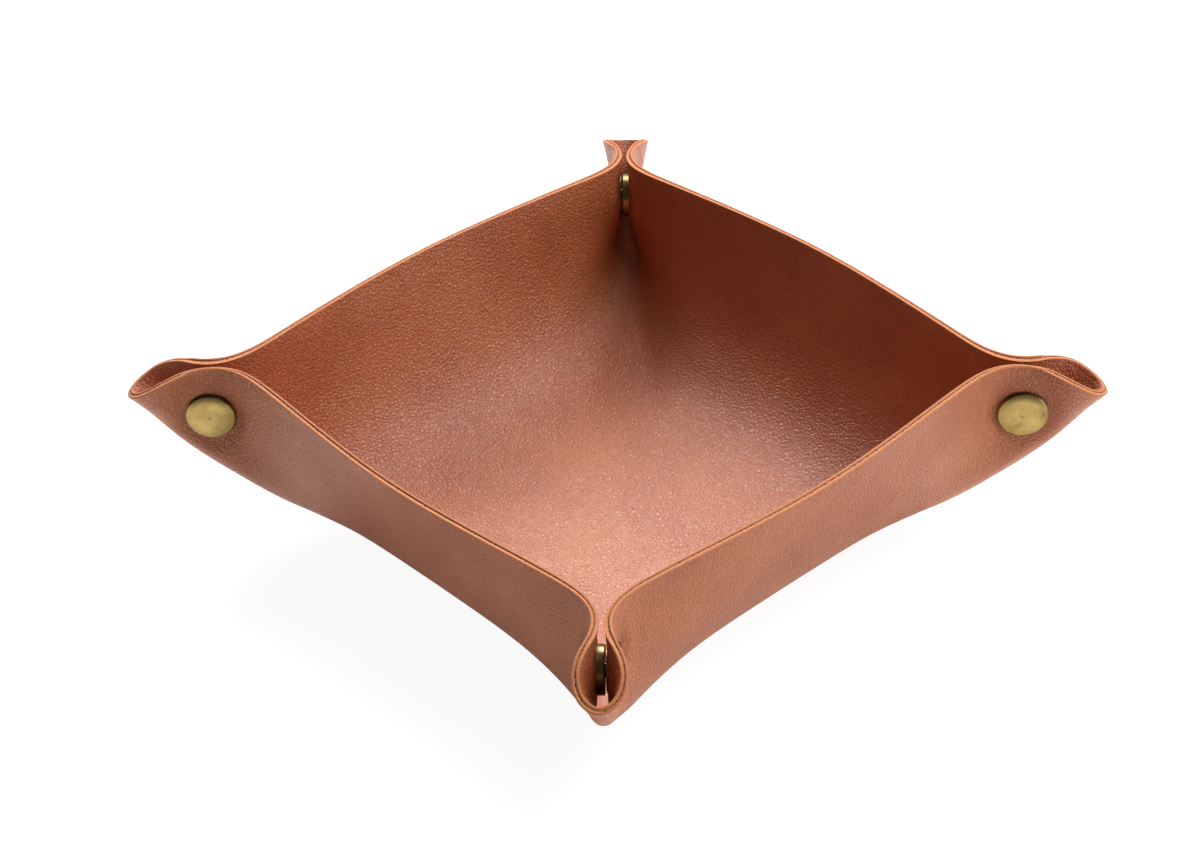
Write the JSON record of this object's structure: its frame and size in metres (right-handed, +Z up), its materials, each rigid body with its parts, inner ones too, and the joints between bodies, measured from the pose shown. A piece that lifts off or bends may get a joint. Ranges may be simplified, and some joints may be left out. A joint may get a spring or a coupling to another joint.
{
  "type": "snap-corner tray",
  "caption": "Square catch-all tray folded from one soft leather sheet, its corners pinched into open ears by domed brass snaps that pull apart.",
  "frame": {"origin": "centre of the base on the surface it rests on", "axes": "+Z up; X and Y square to the four walls, so the pinched ears lie on the diagonals"},
  "size_m": [0.1724, 0.1724, 0.0495],
  "materials": {
    "leather_outer": "satin pebble grain",
    "leather_lining": "satin pebble grain",
    "antique_brass": "antique, brushed",
    "plain_brass": "satin",
    "spring_wire": "drawn wire"
  },
  "bodies": {
    "tray": {"outer_leather": "leather_outer", "lining_leather": "leather_lining", "cap_stud_ne": "antique_brass", "post_stud_ne": "plain_brass", "stud_ne": "plain_brass", "cap_stud_nw": "antique_brass", "post_stud_nw": "plain_brass", "stud_nw": "plain_brass", "cap_stud_sw": "antique_brass", "post_stud_sw": "plain_brass", "stud_sw": "plain_brass", "cap_stud_se": "antique_brass", "post_stud_se": "plain_brass", "stud_se": "plain_brass"},
    "snap_ne": {"cap_socket_ne": "antique_brass", "post_socket_ne": "plain_brass", "socket_ne": "plain_brass", "ring_ne": "spring_wire"},
    "snap_nw": {"cap_socket_nw": "antique_brass", "post_socket_nw": "plain_brass", "socket_nw": "plain_brass", "ring_nw": "spring_wire"},
    "snap_sw": {"cap_socket_sw": "antique_brass", "post_socket_sw": "plain_brass", "socket_sw": "plain_brass", "ring_sw": "spring_wire"},
    "snap_se": {"cap_socket_se": "antique_brass", "post_socket_se": "plain_brass", "socket_se": "plain_brass", "ring_se": "spring_wire"}
  },
  "joints": [
    {"name": "snap_ne_pull", "type": "slide", "parent": "tray", "child": "snap_ne", "axis": [0.7071, -0.7071, 0], "range_m": [0, 0.005], "deforming": ["outer_leather", "lining_leather", "ring_ne"]},
    {"name": "snap_nw_pull", "type": "slide", "parent": "tray", "child": "snap_nw", "axis": [0.7071, 0.7071, 0], "range_m": [0, 0.005], "deforming": ["outer_leather", "lining_leather", "ring_nw"]},
    {"name": "snap_sw_pull", "type": "slide", "parent": "tray", "child": "snap_sw", "axis": [-0.7071, 0.7071, 0], "range_m": [0, 0.005], "deforming": ["outer_leather", "lining_leather", "ring_sw"]},
    {"name": "snap_se_pull", "type": "slide", "parent": "tray", "child": "snap_se", "axis": [-0.7071, -0.7071, 0], "range_m": [0, 0.005], "deforming": ["outer_leather", "lining_leather", "ring_se"]}
  ]
}
